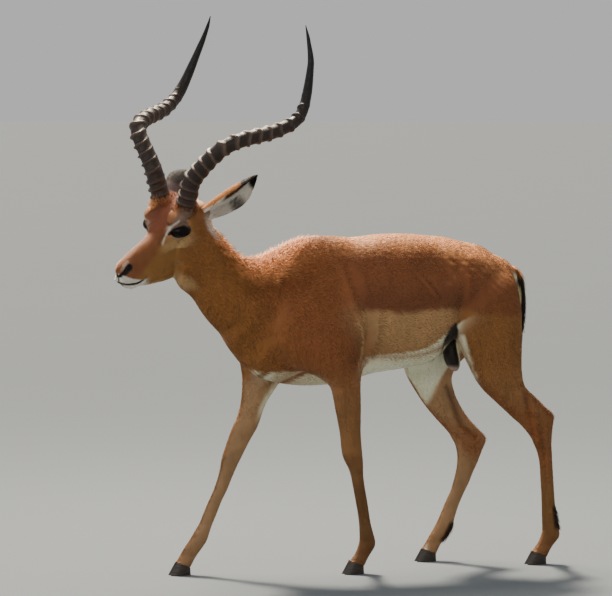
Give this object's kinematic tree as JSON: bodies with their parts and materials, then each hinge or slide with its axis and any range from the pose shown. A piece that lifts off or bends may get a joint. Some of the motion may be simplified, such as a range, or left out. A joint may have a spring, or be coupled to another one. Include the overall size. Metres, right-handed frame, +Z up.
{
  "type": "impala model",
  "caption": "Life-size standing impala ram with lyre-shaped ridged horns, mid-stride, head turned to its left.",
  "frame": {"origin": "middle of the model's box at the level of the soles", "axes": "+X towards the tail, so the animal faces -X; +Y towards its right side; +Z up"},
  "size_m": [1.1888, 0.4224, 1.3895],
  "materials": {
    "coat": "short fur",
    "horn": "ridged horn",
    "eye": "wet and glossy",
    "hoof": "satin horn"
  },
  "bodies": {
    "root": {"ear_left": "coat", "ear_right": "coat", "eye_left": "eye", "eye_right": "eye", "fore_left_cannon": "coat", "fore_left_claw_inner": "hoof", "fore_left_claw_outer": "hoof", "fore_left_foot": "coat", "fore_left_upper": "coat", "fore_right_cannon": "coat", "fore_right_claw_inner": "hoof", "fore_right_claw_outer": "hoof", "fore_right_foot": "coat", "fore_right_upper": "coat", "head": "coat", "hind_left_cannon": "coat", "hind_left_claw_inner": "hoof", "hind_left_claw_outer": "hoof", "hind_left_foot": "coat", "hind_left_upper": "coat", "hind_right_cannon": "coat", "hind_right_claw_inner": "hoof", "hind_right_claw_outer": "hoof", "hind_right_foot": "coat", "hind_right_upper": "coat", "horn_left": "horn", "horn_right": "horn", "neck": "coat", "scrotum": "coat", "tail": "coat", "trunk": "coat"}
  },
  "joints": []
}
